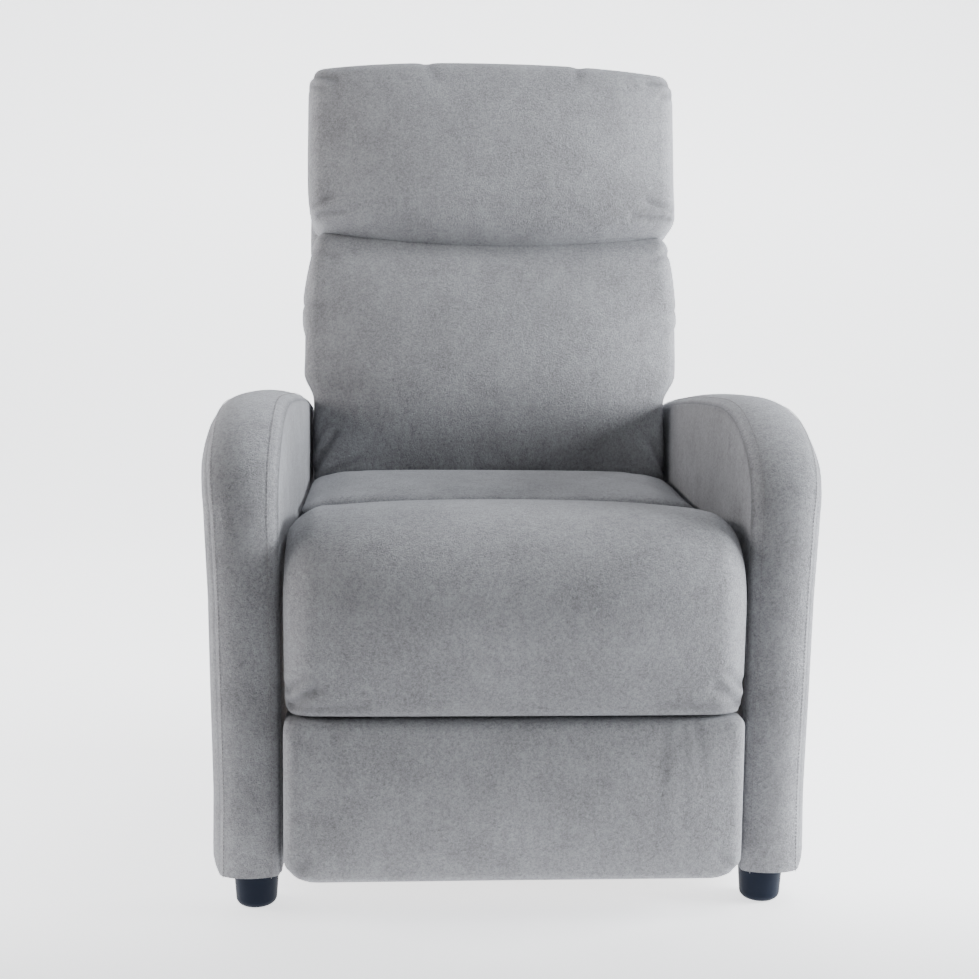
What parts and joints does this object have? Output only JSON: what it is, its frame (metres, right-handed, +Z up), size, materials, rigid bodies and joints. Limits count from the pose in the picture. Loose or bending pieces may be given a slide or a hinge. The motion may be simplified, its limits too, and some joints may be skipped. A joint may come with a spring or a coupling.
{
  "type": "recliner armchair",
  "caption": "Push-back recliner armchair with padded track arms, a two-part back cushion, and a seat front that swings up with a folding footrest on steel links",
  "frame": {"origin": "on the floor under the middle of the closed chair's outline", "axes": "+Z up; the chair faces -Y; +X is the sitter's left"},
  "size_m": [0.696, 0.81, 1.0559],
  "materials": {
    "upholstery": "light grey brushed microfibre",
    "timber": "planed softwood",
    "board": "plywood",
    "feet": "black moulded",
    "steel_black": "black powder coat",
    "zinc": "zinc plated",
    "spring_steel": "oiled spring wire",
    "felt": "needled felt",
    "webbing": "woven elastic"
  },
  "bodies": {
    "base": {"left_arm_cover": "upholstery", "right_arm_cover": "upholstery", "left_arm_frame": "timber", "right_arm_frame": "timber", "left_front_foot": "feet", "right_front_foot": "feet", "left_rear_foot": "feet", "right_rear_foot": "feet", "foot_tee_nuts": "zinc", "left_base_rail": "steel_black", "right_base_rail": "steel_black", "front_cross_tube": "steel_black", "rear_cross_tube": "steel_black", "arm_bolts": "zinc", "base_rivets": "zinc", "rear_skirt": "upholstery"},
    "rear_swing": {"left_rear_swing_link": "steel_black", "right_rear_swing_link": "steel_black", "rear_swing_tube": "steel_black"},
    "front_swing": {"left_front_swing_link": "steel_black", "right_front_swing_link": "steel_black"},
    "seat": {"left_seat_plate": "steel_black", "right_seat_plate": "steel_black", "seat_frame": "timber", "seat_springs": "spring_steel", "seat_felt": "felt", "seat_cushion": "upholstery", "seat_front_cushion": "upholstery", "front_cushion_roll": "upholstery", "seat_rivets": "zinc", "seat_hinge_leaf": "zinc"},
    "back": {"back_frame": "timber", "back_webbing": "webbing", "lumbar_cushion": "upholstery", "head_cushion": "upholstery", "back_cover": "upholstery", "left_back_bracket": "steel_black", "right_back_bracket": "steel_black", "back_bolts": "zinc"},
    "leg_rest": {"leg_rest_hinge_leaf": "zinc", "leg_rest_board": "board", "leg_rest_pad": "upholstery"},
    "drive": {"left_drive_link": "steel_black", "right_drive_link": "steel_black", "drive_tube": "steel_black", "drive_rivets": "zinc"},
    "coupler": {"left_coupler_link": "steel_black", "right_coupler_link": "steel_black"},
    "lift": {"left_lift_link": "steel_black", "right_lift_link": "steel_black", "lift_rivets": "zinc"},
    "stay": {"left_stay_link": "steel_black", "right_stay_link": "steel_black"},
    "footrest": {"footrest_board": "board", "footrest_pad": "upholstery", "left_footrest_bracket": "steel_black", "right_footrest_bracket": "steel_black", "footrest_rivets": "zinc", "footrest_screws": "zinc"}
  },
  "joints": [
    {"name": "rear_swing", "type": "hinge", "parent": "base", "child": "rear_swing", "pos_m": [0, 0.07668, 0.11908], "axis": [-1, 0, 0], "range_deg": [-38, 0]},
    {"name": "front_swing", "type": "hinge", "parent": "base", "child": "front_swing", "pos_m": [0, -0.07332, 0.11908], "axis": [-1, 0, 0], "range_deg": [-38, 0]},
    {"name": "seat_glide", "type": "hinge", "parent": "rear_swing", "child": "seat", "pos_m": [0, 0.119, 0.242], "axis": [-1, 0, 0], "range_deg": [0, 38]},
    {"name": "back_recline", "type": "hinge", "parent": "seat", "child": "back", "pos_m": [0, 0.205, 0.352], "axis": [-1, 0, 0], "range_deg": [0, 30]},
    {"name": "footrest_extend", "type": "hinge", "parent": "seat", "child": "leg_rest", "pos_m": [0, -0.325, 0.42], "axis": [-1, 0, 0], "range_deg": [0, 90], "deforming": ["front_cushion_roll"]},
    {"name": "drive", "type": "hinge", "parent": "seat", "child": "drive", "pos_m": [0, -0.125, 0.285], "axis": [-1, 0, 0], "range_deg": [0, 90]},
    {"name": "lift", "type": "hinge", "parent": "seat", "child": "lift", "pos_m": [0, -0.1803, 0.31915], "axis": [-1, 0, 0], "range_deg": [0, 90]},
    {"name": "coupler", "type": "hinge", "parent": "drive", "child": "coupler", "pos_m": [0, -0.11035, 0.08554], "axis": [-1, 0, 0], "range_deg": [-90, 0]},
    {"name": "stay", "type": "hinge", "parent": "lift", "child": "stay", "pos_m": [0, -0.16236, 0.07481], "axis": [-1, 0, 0], "range_deg": [-90, 0]},
    {"name": "footrest_tilt", "type": "hinge", "parent": "coupler", "child": "footrest", "pos_m": [0, -0.32, 0.215], "axis": [-1, 0, 0], "range_deg": [0, 90]}
  ],
  "couplings": [
    {"joint": "rear_swing", "follows": "back_recline", "ratio": -1.2667},
    {"joint": "front_swing", "follows": "back_recline", "ratio": -1.2667},
    {"joint": "seat_glide", "follows": "back_recline", "ratio": 1.2667},
    {"joint": "drive", "follows": "footrest_extend", "ratio": 1},
    {"joint": "lift", "follows": "footrest_extend", "ratio": 1},
    {"joint": "coupler", "follows": "footrest_extend", "ratio": -1},
    {"joint": "stay", "follows": "footrest_extend", "ratio": -1},
    {"joint": "footrest_tilt", "follows": "footrest_extend", "ratio": 1}
  ]
}
